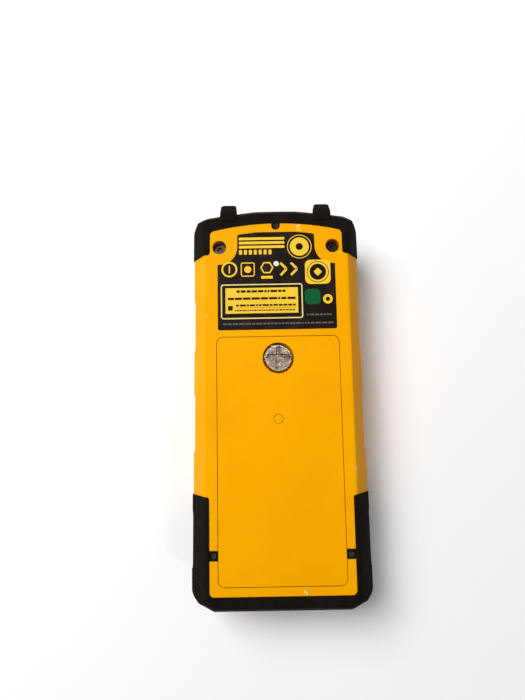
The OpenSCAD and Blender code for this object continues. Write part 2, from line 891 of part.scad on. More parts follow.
// ---- Back details ----

module rating_label() color("black") difference() {
    prism(label_outline(), back_z - label_depth, back_z + 0.02);
    translate([0, vent_y, 0])
        tube_z(vent_r, 0, reach);
}

module vent_membrane() color("white")
    translate([0, vent_y, 0])
        difference() {
            tube_z(vent_r, back_z - label_depth, back_z + 0.05);
            tube_z(0.15, back_z - 0.02, back_z + 1);
        }

// ---- Front: plate, display and keys ----

module face_plate() color("black") difference() {
    prism(plate_outline(0), front_z, plate_z);
    prism(view_outline(0), 0, reach);
    for (k = KEYS)
        prism(key_outline(k, key_gap), 0, reach);
}

module display_window() color("lightgray")
    prism(view_outline(1), plate_z, plate_z + window_thickness);

module lcd_panel() color("darkseagreen") {
    prism(view_outline(1.8), lcd_z, lcd_z + 0.9);
    prism(box_outline(view_width / 2 + 1.8, view_bottom, view_top + 1.8, 0.5), lcd_z + 0.8, lcd_z + 1.8);
}

module backlight() color("ivory")
    prism(view_outline(1.8), lcd_z + 1.85, board_z - 0.3);

module lcd_connector() color("slategray")
    slab(-view_width / 2, view_width / 2, view_bottom - 3.7, view_bottom - 2, lcd_z + 0.3, board_z);

module keypad_mat() color("gray") difference() {
    prism(box_outline(mat_half, mat_bottom, mat_top, 1), mat_z, mat_z + mat_thickness);
    for (k = KEYS)
        translate([k[1], view_bottom + k[2], 0])
            tube_z(plunger_r + 0.3, 0, reach);
}

module key(k) color("gold") union() {
    prism(key_outline(k, 0), key_front_z, flange_z + eps);
    prism(key_outline(k, flange), flange_z, flange_z + flange_thickness);
    translate([k[1], view_bottom + k[2], 0])
        tube_z(plunger_r, flange_z + flange_thickness / 2, board_z - dome_height - key_travel - 0.1);
}

module key_domes() color("silver")
    for (k = KEYS)
        translate([k[1], view_bottom + k[2], board_z - dome_height])
            cylinder(r1 = 2, r2 = 2.8, h = dome_height);

// ---- Boards ----

module main_board() color("darkgreen") difference() {
    prism(box_outline(board_half, board_bottom, board_top, 1.5), board_z, board_back_z);
    both_x()
        for (y = concat(board_screw_y, carrier_screw_y))
            translate([post_x, y, 0])
                tube_z(board_screw_r + 0.15, 0, reach);
}

// Chips on the back of the main board: across, up from the battery bay's top, width, length, height
CHIPS = [
    [-9, 11, 10, 10, 1.4], [8, 10, 8, 6, 1.1], [14, 20, 4, 5, 0.9], [-14, -12, 5, 7, 1.2],
    [15, -14, 4, 4, 1], [-16, -28, 3.2, 6, 1.6]
];
module board_chips() color("black")
    for (c = CHIPS)
        slab(c[0] - c[2] / 2, c[0] + c[2] / 2, bay_top + c[1] - c[3] / 2, bay_top + c[1] + c[3] / 2,
            board_back_z, board_back_z + c[4]);

module buzzer() color("black")
    translate([5, bay_top - 22, 0])
        difference() {
            tube_z(4.5, board_back_z, board_back_z + 2.6);
            tube_z(0.8, board_back_z + 1.6, reach);
        }

module small_screw(z, length) difference() {
    union() {
        tube_z(1.5, z, z + 0.9);
        tube_z(board_screw_r, z - length, z + 0.5);
    }
    prism(lobed_outline(0.75), z + 0.4, z + 2);
}

module board_screws() color("silver")
    both_x()
        for (y = board_screw_y)
            translate([post_x, y, 0])
                small_screw(board_back_z, 4.6);

module flex_cable() color("peru")
    translate([laser_x, 0, 0])
        rotate([90, 0, 90])
            linear_extrude(9)
                polygon([
                    [rear_board_y - 0.3, board_back_z + 6], [rear_board_y - 0.3, board_back_z + 0.3],
                    [rear_board_y - 5, board_back_z + 0.3], [rear_board_y - 5, board_back_z],
                    [rear_board_y, board_back_z], [rear_board_y, board_back_z + 6]
                ]);

// ---- Optics ----

module optics_carrier() color("darkgray") difference() {
    union() {
        optics_block(carrier_top - 3, carrier_top);
        optics_block(carrier_bottom, carrier_bottom + 2.5);
        slab(-carrier_half, carrier_half, carrier_bottom, carrier_top, carrier_low_z, carrier_low_z + 1.4);
        translate([receiver_x, 0, axis_z])
            tube_y(receiver_diameter / 2 + 0.7, carrier_bottom + 1, carrier_top - 1);
        translate([laser_x, 0, axis_z])
            tube_y(4, carrier_bottom + 1, carrier_top - 1);
        both_x()
            for (y = carrier_screw_y) {
                slab(carrier_half - 2, post_x, y - 2.2, y + 2.2, carrier_low_z, carrier_low_z + 1.2);
                translate([post_x, y, 0])
                    tube_z(2.2, carrier_low_z, carrier_low_z + 1.2);
            }
    }
    translate([receiver_x, 0, axis_z]) {
        tube_y(receiver_diameter / 2 + 0.03, carrier_top - 5, carrier_top + 1);
        tube_y(receiver_diameter / 2 - 0.8, carrier_top - 12, carrier_top);
        tube_y(receiver_diameter / 2 - 2.5, carrier_bottom + 5, carrier_top);
        tube_y(1.6, carrier_bottom - 1, carrier_top);
    }
    translate([laser_x, 0, axis_z]) {
        tube_y(collimator_diameter / 2 + 0.03, carrier_top - 5, carrier_top + 1);
        tube_y(2, carrier_bottom - 1, carrier_top);
        tube_y(diode_r + 0.02, carrier_bottom - 1, carrier_bottom + 5.5);
    }
    both_x()
        for (y = carrier_screw_y)
            translate([post_x, y, 0])
                tube_z(board_screw_r + 0.15, 0, reach);
}

module optics_block(y0, y1)
    slab(-carrier_half, carrier_half, y0, y1, carrier_low_z, axis_z + carrier_half_height);

// Lens with two bulged faces, its axis along Y
module lens(x, r, y0, edge, bulge) {
    radius = (r * r + bulge * bulge) / (2 * bulge);
    span = asin(r / radius);
    translate([x, y0, axis_z])
        rotate([-90, 0, 0])
            rotate_extrude($fn = 64)
                polygon(concat(
                    [for (i = [0 : 6])
                        let (a = span * i / 6)
                        [radius * sin(a), radius - bulge - radius * cos(a)]],
                    [for (i = [6 : -1 : 0])
                        let (a = span * i / 6)
                        [radius * sin(a), edge + radius * cos(a) - radius + bulge]]
                ));
}

module receiver_lens() color("lightblue")
    lens(receiver_x, receiver_diameter / 2, carrier_top - 3.4, 1.8, 0.9);

module collimator_lens() color("lightblue")
    lens(laser_x, collimator_diameter / 2, carrier_top - 3.4, 1.6, 0.5);

module laser_diode() color("goldenrod")
    translate([laser_x, 0, axis_z]) {
        tube_y(diode_r, carrier_bottom - 0.2, carrier_bottom + 1);
        tube_y(2.1, carrier_bottom, carrier_bottom + 4);
        for (a = [90, 210, 330])
            translate([1.1 * cos(a), 0, 1.1 * sin(a)])
                tube_y(0.22, rear_board_y + optics_board_thickness, carrier_bottom);
    }

module optics_board() color("darkgreen")
    slab(-carrier_half + 0.6, carrier_half - 0.6, rear_board_y, rear_board_y + optics_board_thickness,
        board_back_z + 0.6, axis_z + carrier_half_height - 0.6);

module photodiode() color("dimgray")
    translate([receiver_x, 0, axis_z]) {
        slab(-2.5, 2.5, rear_board_y + optics_board_thickness, carrier_bottom - 0.3, -2.5, 2.5);
        tube_y(1.4, carrier_bottom - 0.4, carrier_bottom + 0.6);
    }

module optics_screws() color("silver")
    both_x()
        for (y = carrier_screw_y)
            translate([post_x, y, 0])
                small_screw(carrier_low_z + 1.2, 5.8);

module window_bezel() color("black") difference() {
    union() {
        slab(-bezel_half, bezel_half, inner_top, bezel_front_y,
            axis_z - bezel_half_height, axis_z + bezel_half_height);
        slab(-bezel_half - 1, bezel_half + 1, inner_top - 0.8, inner_top - 0.05,
            axis_z - bezel_half_height, axis_z + bezel_half_height);
        slab(-bezel_half, bezel_half, inner_top - 0.5, inner_top + 0.5,
            axis_z - bezel_half_height, axis_z + bezel_half_height);
    }
    slab(-bezel_half + glass_rim, bezel_half - glass_rim, bezel_front_y - 1.2, top_y + 1,
        axis_z - bezel_half_height + glass_rim, axis_z + bezel_half_height - glass_rim);
    translate([receiver_x, 0, axis_z])
        tube_y(receiver_diameter / 2 - 0.9, inner_top - 2, top_y);
    translate([laser_x, 0, axis_z])
        tube_y(collimator_diameter / 2 - 0.1, inner_top - 2, top_y);
}

module front_window() color("lightblue")
    slab(-bezel_half + glass_rim, bezel_half - glass_rim, bezel_front_y - 1.2, bezel_front_y - 0.1,
        axis_z - bezel_half_height + glass_rim, axis_z + bezel_half_height - glass_rim);

// ---- Battery ----

// AAA cell along +Y from y = 0, with its positive cap at the far end
module cell() color("steelblue") {
    tube_y(cell_diameter / 2 - 0.3, 0, 0.5);
    tube_y(cell_diameter / 2, 0.3, cell_length - cap_height - 0.4);
    tube_y(cell_diameter / 2 - 0.4, cell_length - cap_height - 0.5, cell_length - cap_height);
    tube_y(1.9, cell_length - cap_height - 0.1, cell_length);
}

module cell_left()
    translate([-cell_pitch / 2, bay_top - contact_thickness - 0.1 - cell_length, cell_z])
        cell();

module cell_right()
    translate([cell_pitch / 2, bay_bottom + contact_thickness + 0.1 + cell_length, cell_z])
        rotate([0, 0, 180])
            cell();

// Conical coil spring along +Y: rings of wire along a helix, capped at both ends
wire_r = 0.3;
turns = 4;
ring_steps = 12;
wire_sides = 6;
function coil_at(t) = 3.4 - 1.2 * t;
function coil_point(i, j) =
    let (
        t = i / (turns * ring_steps),
        a = 360 * i / ring_steps,
        b = 360 * j / wire_sides,
        r = coil_at(t) + wire_r * cos(b)
    )
    [r * cos(a), wire_r + t * (spring_length - 2 * wire_r) + wire_r * sin(b), r * sin(a)];
module coil_spring() {
    n = turns * ring_steps;
    polyhedron(
        points = [for (i = [0 : n]) for (j = [0 : wire_sides - 1]) coil_point(i, j)],
        faces = concat(
            [[for (j = [0 : wire_sides - 1]) j]],
            [[for (j = [wire_sides - 1 : -1 : 0]) n * wire_sides + j]],
            [for (i = [0 : n - 1]) for (j = [0 : wire_sides - 1])
                let (k = (j + 1) % wire_sides)
                [i * wire_sides + j, (i + 1) * wire_sides + j, (i + 1) * wire_sides + k, i * wire_sides + k]]
        )
    );
}

module battery_springs() color("silver") {
    translate([-cell_pitch / 2, bay_bottom + contact_thickness + 0.05, cell_z])
        coil_spring();
    translate([cell_pitch / 2, bay_top - contact_thickness - 0.05, cell_z])
        rotate([0, 0, 180])
            coil_spring();
}

module battery_contacts() color("silver") {
    slab(-cell_pitch / 2 - 4.2, cell_pitch / 2 + 4.2, bay_bottom, bay_bottom + contact_thickness,
        bay_floor_z + 0.5, cell_z + 4);
    both_x() {
        slab(cell_pitch / 2 - 4.2, cell_pitch / 2 + 4.2, bay_top - contact_thickness, bay_top,
            bay_floor_z + 0.5, cell_z + 4);
        slab(cell_pitch / 2 - 1, cell_pitch / 2 + 1, bay_top - contact_thickness, bay_top,
            board_back_z, bay_floor_z + 0.6);
    }
}

rear_housing();
front_housing();
rear_top_grip();
rear_bottom_grip();
front_top_grip();
front_bottom_grip();
housing_gasket();
housing_screws();
battery_cover();
cover_gasket();
latch_base();
latch_tab();
latch_pin();
latch_o_ring();
latch_clip();
latch_insert();
rating_label();
vent_membrane();
face_plate();
display_window();
lcd_panel();
backlight();
lcd_connector();
keypad_mat();
key_domes();
main_board();
board_chips();
buzzer();
board_screws();
flex_cable();
optics_carrier();
receiver_lens();
collimator_lens();
laser_diode();
optics_board();
photodiode();
optics_screws();
window_bezel();
front_window();
cell_left();
cell_right();
battery_springs();
battery_contacts();
for (k = KEYS)
    key(k);
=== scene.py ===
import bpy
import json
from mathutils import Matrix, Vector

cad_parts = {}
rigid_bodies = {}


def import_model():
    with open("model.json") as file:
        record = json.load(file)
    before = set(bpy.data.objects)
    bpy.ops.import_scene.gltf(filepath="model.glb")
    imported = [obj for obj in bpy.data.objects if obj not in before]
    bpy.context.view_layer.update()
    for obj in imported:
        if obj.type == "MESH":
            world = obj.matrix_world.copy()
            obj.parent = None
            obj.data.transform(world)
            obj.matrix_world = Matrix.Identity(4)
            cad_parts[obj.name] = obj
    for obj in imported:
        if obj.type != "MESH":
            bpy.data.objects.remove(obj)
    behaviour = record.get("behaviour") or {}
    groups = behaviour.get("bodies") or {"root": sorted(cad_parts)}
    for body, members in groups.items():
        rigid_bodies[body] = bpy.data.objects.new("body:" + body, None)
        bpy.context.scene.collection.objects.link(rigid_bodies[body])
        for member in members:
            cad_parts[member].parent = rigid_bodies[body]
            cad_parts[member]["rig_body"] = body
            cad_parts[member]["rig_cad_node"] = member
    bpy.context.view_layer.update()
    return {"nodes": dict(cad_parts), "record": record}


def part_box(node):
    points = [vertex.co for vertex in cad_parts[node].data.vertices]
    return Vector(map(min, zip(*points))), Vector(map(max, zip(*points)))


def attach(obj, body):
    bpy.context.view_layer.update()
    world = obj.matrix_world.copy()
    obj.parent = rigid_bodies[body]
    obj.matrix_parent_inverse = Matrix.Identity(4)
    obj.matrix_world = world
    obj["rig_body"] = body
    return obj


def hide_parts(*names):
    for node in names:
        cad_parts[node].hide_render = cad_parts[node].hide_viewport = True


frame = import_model()

import json
import math
import random

import bpy
from bpy.props import FloatProperty, FloatVectorProperty, PointerProperty
from mathutils import Vector

bl_info = {
    "name": "Laser distance meter",
    "version": (1, 0, 0),
    "blender": (4, 5, 0),
    "location": "3D View > Sidebar > Meter",
    "description": "Finishes and details for a hand-held laser distance meter",
    "category": "Object",
}

MM = 0.001

# Points of a CAD node that lie closer than this are one
MERGE = 0.002 * MM
# An edge that bends by more than this is rounded
SHARP_EDGE = math.radians(32)
# Faces that meet at less than this are shaded as one
SMOOTH_FACES = math.radians(40)
SMOOTH_METAL = math.radians(14)
# Print starts this far inside the face that it lies on
PRINT_SINK = 0.01 * MM

# Colours of wear and dirt, and of painted shade and a painted highlight
SMUDGE = (0.70, 0.24, 0.004)
DARK_SPECK = (0.28, 0.085, 0.01)
RUBBED_PLASTIC = (0.96, 0.74, 0.46)
# Painted shade for the door's seam, the latch well and the screw recesses
PAINTED_SHADE = (0.20, 0.045, 0.002)
GATE_MARK = (0.62, 0.20, 0.002)
DUST = (0.16, 0.14, 0.12)
LABEL_DUST = (0.2, 0.17, 0.14)
# Painted highlight for the small pips of the rubber tabs
PIP_HIGHLIGHT = (0.11, 0.10, 0.09)
BARE_METAL = (0.62, 0.60, 0.57)


# ---- Settings ----


def length(name, description, millimetres, low=0.0, high=100.0):
    """A length that is shown in scene units."""
    return FloatProperty(name=name, description=description, default=millimetres * MM,
                         min=low * MM, max=high * MM, subtype="DISTANCE", unit="LENGTH")


def share(name, description, default):
    return FloatProperty(name=name, description=description, default=default, min=0, max=1,
                         subtype="FACTOR")


def colour(name, description, default):
    return FloatVectorProperty(name=name, description=description, default=default, size=3,
                               min=0, max=1, subtype="COLOR")


class MeterSizes(bpy.types.PropertyGroup):
    """Small sizes of the finished pieces."""
    shell_edge: length("Shell edge", "Rounding of the yellow shells' edges", 0.12, 0.02, 0.3)
    rubber_edge: length("Rubber edge", "Rounding of the bumpers' edges", 0.5, 0.02, 0.8)
    metal_edge: length("Metal edge", "Rounding of the latch's edges", 0.05, 0.01, 0.1)
    key_edge: length("Key edge", "Rounding of the key caps", 0.3, 0.05, 0.5)
    latch_rim: length("Latch rim", "Width of the bright worn rim of the latch", 0.74, 0.1, 0.9)
    latch_lift: length("Latch lift", "Height of the disc and flap above their CAD nodes", 0.18,
                       0.0, 0.3)
    ink_height: length("Ink height", "Thickness of the printed marks", 0.012, 0.005, 0.03)
    line_width: length("Line width", "Width of the label's printed outlines", 0.42, 0.2, 0.8)


class MeterFinish(bpy.types.PropertyGroup):
    """Colours and wear."""
    yellow: colour("Yellow plastic", "Colour of the shells and the door", (0.90, 0.385, 0.0))
    rubber: colour("Rubber", "Colour of the bumpers", (0.0088, 0.0068, 0.0046))
    film: colour("Label film", "Ground colour of the label", (0.0105, 0.0072, 0.0040))
    ink_yellow: colour("Yellow ink", "Colour of the label's yellow print", (0.93, 0.56, 0.035))
    ink_pale: colour("Pale ink", "Colour of the label's pale outlines", (0.83, 0.66, 0.22))
    ink_green: colour("Green ink", "Colour of the green mark", (0.004, 0.10, 0.032))
    ink_grey: colour("Grey ink", "Colour of the label's small lines", (0.12, 0.105, 0.095))
    nickel: colour("Nickel", "Colour of the latch", (0.33, 0.265, 0.205))
    # Wear also scales the painted shade in the seam, the latch well and the screw recesses
    wear_and_shade: share("Wear", "Amount of scuffs and grime", 0.6)
    scratches: share("Scratches", "Depth of the scratches on the latch", 0.6)


class MeterStage(bpy.types.PropertyGroup):
    """Camera and light."""
    camera_place: FloatVectorProperty(
        name="Camera place", description="Where the camera stands", size=3, subtype="TRANSLATION",
        unit="LENGTH", default=(-4.82 * MM, -5.73 * MM, 190.2 * MM))
    camera_tilt: FloatProperty(
        name="Camera tilt", description="Tilt away from straight down, to the optical end",
        default=math.radians(7.3), subtype="ANGLE", unit="ROTATION")
    camera_roll: FloatProperty(
        name="Camera roll", description="Turn of the camera about its own axis",
        default=math.radians(-1.03), subtype="ANGLE", unit="ROTATION")
    lens: FloatProperty(name="Lens", description="Focal length, in millimetres", default=27.05)
    key_light: FloatProperty(name="Key light", description="Power of the large light",
                             default=5.25)
    fill_light: FloatProperty(name="Fill light", description="Power of the fill", default=0.4)
    glint_light: FloatProperty(name="Glint light", description="Power of the small light",
                               default=0.4)
    sky: FloatProperty(name="Sky", description="Strength of the light from above", default=0.05)
    horizon: FloatProperty(name="Horizon", description="Strength of the light from the sides",
                           default=0.38)
    floor_glow: FloatProperty(name="Floor glow", description="Own light of the pale floor",
                              default=0.05)


# ---- Materials ----


class Value:
    """A socket that holds a number or a colour over the surface, with the usual arithmetic."""

    def __init__(self, wiring, socket):
        self.wiring = wiring
        self.socket = socket

    def __add__(self, other):
        return self.wiring.work_out("ADD", self, other)

    __radd__ = __add__

    def __mul__(self, other):
        return self.wiring.work_out("MULTIPLY", self, other)

    __rmul__ = __mul__

    def __sub__(self, other):
        return self.wiring.work_out("SUBTRACT", self, other)

    def __rsub__(self, other):
        return self.wiring.work_out("SUBTRACT", other, self)

    def __pow__(self, other):
        return self.wiring.work_out("POWER", self, other)

    def below(self, limit):
        return self.wiring.work_out("LESS_THAN", self, limit)

    def above(self, limit):
        return self.wiring.work_out("GREATER_THAN", self, limit)

    def within(self, low, high, start=0.0, end=1.0):
        """Start at low, end at high, and smooth between them."""
        return self.wiring.node("ShaderNodeMapRange", {"interpolation_type": "SMOOTHSTEP"},
                                {"Value": self, "From Min": low, "From Max": high,
                                 "To Min": start, "To Max": end})


class Wiring:
    """The nodes of one material or of the world."""

    def __init__(self, owner):
        self.owner = owner
        owner.use_nodes = True
        self.tree = owner.node_tree

    def feed(self, socket, value):
        if isinstance(value, Value):
            self.tree.links.new(value.socket, socket)
        elif hasattr(socket.default_value, "__len__") and len(socket.default_value) == 4:
            socket.default_value = (*value, 1.0)
        else:
            socket.default_value = value

    def node(self, kind, settings, sockets, output=0):
        """Adds a node: its settings first, then the values or links of its sockets."""
        made = self.tree.nodes.new(kind)
        for key, value in settings.items():
            setattr(made, key, value)
        for key, value in sockets.items():
            self.feed(made.inputs[key], value)
        return Value(self, made.outputs[output])

    def work_out(self, operation, a, b):
        return self.node("ShaderNodeMath", {"operation": operation}, {0: a, 1: b})

    def mix(self, factor, a, b):
        """Colour a where the factor is 0 and b where it is 1."""
        return self.node("ShaderNodeMix", {"data_type": "RGBA"}, {0: factor, 6: a, 7: b}, 2)


class Paint(Wiring):
    """A material that is being made: a Principled surface, and the nodes that feed it."""

    def __init__(self, name, roughness=0.5, metallic=0.0, coat=0.0, ior=1.5, gloss=0.5):
        super().__init__(bpy.data.materials.new(name))
        self.surface = self.tree.nodes["Principled BSDF"]
        self.set("Roughness", roughness)
        self.set("Metallic", metallic)
        self.set("Coat Weight", coat)
        self.set("IOR", ior)
        self.set("Specular IOR Level", gloss)
        self.place = self.node("ShaderNodeTexCoord", {}, {}, "Object")

    def set(self, name, value):
        self.feed(self.surface.inputs[name], value)

    def along(self, axis):
        """Where a point of the surface lies along one axis."""
        return self.node("ShaderNodeSeparateXYZ", {}, {0: self.place}, axis)

    def noise(self, scale, detail=2.0, stretch=(1, 1, 1), shift=(0, 0, 0)):
        """Cloudy pattern from 0 to 1, with scale in features per metre."""
        place = self.node("ShaderNodeMapping", {},
                          {"Vector": self.place, "Scale": stretch, "Location": shift})
        return self.node("ShaderNodeTexNoise", {},
                         {"Vector": place, "Scale": scale, "Detail": detail})

    def specks(self, spacing, size, rare):
        """Small round spots, one at most in each cell of the spacing."""
        cells = {"Vector": self.place, "Scale": 1 / spacing}
        near = self.node("ShaderNodeTexVoronoi", {}, cells, "Distance")
        pick = self.node("ShaderNodeTexVoronoi", {}, cells, "Color")
        chosen = self.node("ShaderNodeSeparateColor", {}, {0: pick}).above(rare)
        return near.within(size / spacing, 0.5 * size / spacing) * chosen

    def spot(self, centre, size, stretch=(1, 1, 1)):
        """1 at a point of the surface, falling to 0 at the size from it."""
        far = self.node("ShaderNodeVectorMath", {"operation": "SUBTRACT"},
                        {0: self.place, 1: centre})
        scaled = self.node("ShaderNodeVectorMath", {"operation": "MULTIPLY"}, {0: far, 1: stretch})
        reach = self.node("ShaderNodeVectorMath", {"operation": "LENGTH"}, {0: scaled}, "Value")
        return reach.within(size, 0.0)

    def ring(self, centre, radius, width):
        """1 on a circle round a point of the surface, falling to 0 at the width from it."""
        far = self.node("ShaderNodeVectorMath", {"operation": "DISTANCE"},
                        {0: self.place, 1: centre}, "Value")
        return far.within(radius - width, radius) * far.within(radius + width, radius)

    def bump(self, height, depth, edge=0.0):
        """Relief of that height times a depth in metres, over edges that are rounded by edge."""
        sockets = {"Height": height, "Distance": depth}
        if edge:
            sockets["Normal"] = self.node("ShaderNodeBevel", {"samples": 6}, {"Radius": edge})
        return self.node("ShaderNodeBump", {}, sockets)


def finish():
    return bpy.context.scene.meter_finish


def sizes():
    return bpy.context.scene.meter_sizes


def yellow_plastic():
    """Moulded yellow plastic with a fine grain, faint clouding and scuffs, and painted shade in
    the door's seam, the latch well and the screw recesses.
    """
    paint = Paint("yellow_plastic", gloss=0.02)
    look = finish()
    base = tuple(look.yellow)
    deep = (base[0] * 0.93, base[1] * 0.90, base[2])
    clouds = paint.noise(45, 3).within(0.35, 0.7)
    body = paint.mix(clouds * 0.55, base, deep)
    smudges = paint.noise(260, 4, shift=(3, 1, 2)).within(0.56, 0.78)
    body = paint.mix(smudges * (0.16 * look.wear_and_shade), body, SMUDGE)
    specks = paint.specks(6.5 * MM, 0.16 * MM, 0.62)
    body = paint.mix(specks * (0.75 * look.wear_and_shade), body, DARK_SPECK)
    rough_patch = paint.noise(1400, 3, shift=(5, 5, 5)).within(0.46, 0.60)
    for centre, size, stretch in scuff_places():
        rub = paint.spot(centre, size, stretch) * rough_patch
        body = paint.mix(rub.within(0.12, 0.5) * (1.3 * look.wear_and_shade), body, RUBBED_PLASTIC)
    # Painted shade: darker inside the door's seam and latch well, and in the two upper screw
    # recesses
    painted_shade = seam_depth(paint)
    for centre in screw_wells():
        painted_shade = painted_shade + paint.spot(centre, 3.0 * MM) * 4.0
    body = paint.mix(painted_shade * (1.1 * look.wear_and_shade), body, PAINTED_SHADE)
    gate = paint.ring(gate_centre(), 1.42 * MM, 0.5 * MM)
    stub = paint.spot(gate_centre(), 0.6 * MM)
    body = paint.mix(gate * 0.36 + stub * 0.3, body, GATE_MARK)
    paint.set("Base Color", body)
    grain = paint.noise(3600, 2)
    paint.set("Roughness", 0.36 + 0.16 * paint.noise(420, 3) + 0.05 * clouds)
    pit = paint.spot(gate_centre(), 0.5 * MM) * 1.2 - paint.spot(dimple_centre(), 0.6 * MM) * 1.1
    relief = grain * 0.35 + pit * 3.0 - gate * 6.0 + 6.0
    paint.set("Normal", paint.bump(relief, 0.012 * MM, edge=0.25 * MM))
    return paint.owner


def bumper_rubber():
    """Matt black rubber with a soft bloom, dust, and a painted highlight on each tab's small pip.
    """
    paint = Paint("bumper_rubber", gloss=0.008)
    look = finish()
    base = tuple(look.rubber)
    bloom = tuple(c * 1.4 + 0.0012 for c in base)
    body = paint.mix(paint.noise(420, 5).within(0.35, 0.8) * 0.7, base, bloom)
    dust = paint.specks(2.6 * MM, 0.12 * MM, 0.72)
    body = paint.mix(dust * (0.4 * look.wear_and_shade), body, DUST)
    # Painted highlight: a paler spot on each tab's small pip
    for centre in pip_centres():
        body = paint.mix(paint.spot(centre, 0.95 * MM) * 1.2, body, PIP_HIGHLIGHT)
    paint.set("Base Color", body)
    paint.set("Roughness", 0.48 + 0.22 * paint.noise(300, 3))
    relief = paint.noise(5200, 2) + 0.5 * paint.noise(900, 2)
    paint.set("Normal", paint.bump(relief, 0.014 * MM, edge=0.6 * MM))
    return paint.owner


def worn_nickel():
    """Nickel plate with fine scratches both ways, dull patches and stains."""
    paint = Paint("worn_nickel", metallic=1.0)
    look = finish()
    base = tuple(look.nickel)
    dull = tuple(c * 0.42 for c in base)
    bright = tuple(min(1.0, c * 2.6) for c in base)
    patches = paint.noise(520, 5, shift=(1, 2, 3))
    body = paint.mix(patches.within(0.36, 0.62), dull, base)
    body = paint.mix(paint.noise(1100, 5, shift=(7, 1, 0)).within(0.52, 0.70) * 0.35, body, bright)
    across = paint.noise(900, 3, stretch=(0.25, 7, 1)).within(0.56, 0.62)
    along = paint.noise(900, 3, stretch=(6, 0.35, 1), shift=(2, 0, 0)).within(0.58, 0.64)
    body = paint.mix((across + along) * 0.45, body, dull)
    centre, radius = latch_rim()
    reach = ((paint.along("X") - centre.x) ** 2 + (paint.along("Y") - centre.y) ** 2) ** 0.5
    rim = reach.above(radius - sizes().latch_rim)
    body = paint.mix(rim * 0.7, body, bright)
    paint.set("Base Color", body)
    paint.set("Roughness", (0.26 + 0.28 * patches) * (1.0 - 0.3 * rim))
    relief = paint.noise(700, 4) * 3.0 * (1.0 - rim) - (across + along) * look.scratches
    paint.set("Normal", paint.bump(relief, 0.035 * MM))
    return paint.owner


def plain(name, base, roughness, metallic=0.0, grain=1500, depth=0.006, coat=0.0, vary=0.12):
    """A clean finish: one colour that varies a little, over a fine grain."""
    paint = Paint(name, metallic=metallic, coat=coat)
    deep = tuple(c * (1 - 2 * vary) for c in base)
    paint.set("Base Color", paint.mix(paint.noise(160, 3), base, deep))
    paint.set("Roughness", roughness - 0.06 + 0.12 * paint.noise(500, 2))
    paint.set("Normal", paint.bump(paint.noise(grain, 2), depth * MM))
    return paint.owner


def clear(name, tint, alpha, roughness=0.04):
    """Glass or clear plastic, with faint wipe marks."""
    paint = Paint(name, coat=0.5, ior=1.5)
    wipes = paint.noise(240, 3, stretch=(1, 3, 1)).within(0.45, 0.8)
    paint.set("Base Color", paint.mix(wipes, tint, tuple(min(1.0, c * 1.2 + 0.02) for c in tint)))
    paint.set("Roughness", roughness + 0.07 * wipes)
    paint.set("Alpha", alpha)
    return paint.owner


def label_film():
    """Dark printed film, with a faint sheen of rubbing."""
    paint = Paint("label_film", gloss=0.035)
    base = tuple(finish().film)
    rubbed = tuple(c * 2.2 + 0.004 for c in base)
    body = paint.mix(paint.noise(200, 4).within(0.45, 0.8), base, rubbed)
    body = paint.mix(paint.specks(2.2 * MM, 0.09 * MM, 0.8) * 0.35, body, LABEL_DUST)
    paint.set("Base Color", body)
    paint.set("Roughness", 0.34 + 0.14 * paint.noise(350, 3))
    paint.set("Normal", paint.bump(paint.noise(2600, 2), 0.004 * MM))
    return paint.owner


def ink(name, base):
    """Printed ink, thinner in places."""
    paint = Paint(name, gloss=0.05)
    thin = tuple(c * 0.72 for c in base)
    paint.set("Base Color", paint.mix(paint.noise(1500, 4).within(0.5, 0.85), tuple(base), thin))
    paint.set("Roughness", 0.36 + 0.12 * paint.noise(600, 2))
    return paint.owner


def cell_sleeve(name):
    """Battery cell: a dark sleeve with a light band at one end, and bare metal past both ends."""
    paint = Paint(name)
    low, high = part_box(name.replace("_sleeve", ""))
    along = paint.along("Y")
    middle = (low.y + high.y) / 2
    flat_end, button_end = 0.7 * MM, 1.35 * MM
    if "left" in name:
        past = 1.0 - along.above(low.y + flat_end) * along.below(high.y - button_end)
        band = along.above(middle + 9 * MM)
    else:
        past = 1.0 - along.above(low.y + button_end) * along.below(high.y - flat_end)
        band = along.below(middle - 9 * MM)
    print_noise = paint.noise(300, 2)
    body = paint.mix(print_noise, (0.02, 0.05, 0.11), (0.03, 0.065, 0.14))
    body = paint.mix(band, body, (0.62, 0.60, 0.56))
    body = paint.mix(past, body, BARE_METAL)
    paint.set("Base Color", body)
    paint.set("Metallic", past)
    paint.set("Roughness", 0.28 + 0.12 * print_noise)
    return paint.owner


def latch_rim():
    """Middle of the top of the latch's disc, and the disc's radius."""
    low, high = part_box("latch_base")
    radius = (high.x - low.x) / 2
    return Vector((0, high.y - radius, high.z)), radius


def gate_centre():
    """Middle of the moulding mark on the battery door."""
    low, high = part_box("battery_cover")
    return Vector((-0.2 * MM, low.y + 49.9 * MM, high.z))


def dimple_centre():
    """Middle of the small pit below the moulding mark."""
    return gate_centre() + Vector((1.5 * MM, -11.95 * MM, 0))


def seam_depth(paint):
    """1 inside the seam and the latch well of the battery door, where shade is painted."""
    low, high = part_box("battery_cover")
    x, y, z = (paint.along(axis) for axis in ("X", "Y", "Z"))
    deep = z.within(high.z - 0.04 * MM, high.z - 0.25 * MM) * z.above(high.z - 1.9 * MM)
    across = x.above(low.x - 0.3 * MM) * x.below(high.x + 0.3 * MM)
    return deep * across * y.below(high.y + 0.3 * MM)


def screw_wells():
    """Middles of the two recesses for the upper screws."""
    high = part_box("rear_housing")[1]
    return [Vector((side * 17.9 * MM, high.y - 12.6 * MM, high.z - 2.05 * MM))
            for side in (-1, 1)]


def pip_centres():
    """Middles of the small pips on the three rubber tabs of the back, where a highlight is
    painted.
    """
    low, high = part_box("rear_bottom_grip")
    across, up = 20.2 * MM, low.y + 16.7 * MM
    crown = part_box("rear_top_grip")[1]
    return [Vector((-across, up, high.z)), Vector((across, up, high.z)),
            Vector((0.2 * MM, crown.y - 8.05 * MM, crown.z - 0.3 * MM))]


